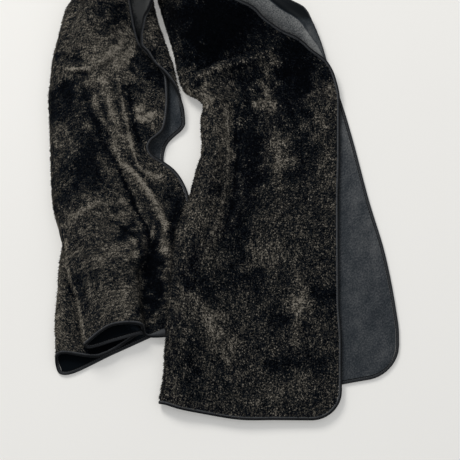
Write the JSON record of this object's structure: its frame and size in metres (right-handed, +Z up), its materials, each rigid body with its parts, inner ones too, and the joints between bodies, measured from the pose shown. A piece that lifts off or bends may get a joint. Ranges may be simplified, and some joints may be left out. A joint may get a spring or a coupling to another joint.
{
  "type": "lined pile-cloth stole laid folded",
  "caption": "Long scarf of pile cloth with a smooth lining and a bound edge, folded lengthwise, bent over at the neck and laid flat with both ends side by side.",
  "frame": {"origin": "middle of the box of the laid stole, at the height of the surface that it lies on", "axes": "+Z up from the surface, +Y from the two ends towards the neck fold, +X towards the right arm as a viewer at the ends sees it"},
  "size_m": [0.4216, 0.5924, 0.0596],
  "materials": {
    "pile": "crushed pile, mottled blue-black and brown-grey, matt with bright crests",
    "lining": "smooth brushed cloth, charcoal grey, matt",
    "binding": "narrow bound edge, near black with a grey seam line"
  },
  "bodies": {
    "root": {"pile_left": "pile", "pile_right": "pile", "lining_left": "lining", "lining_right": "lining", "binding_left": "binding", "binding_right": "binding"}
  },
  "joints": []
}
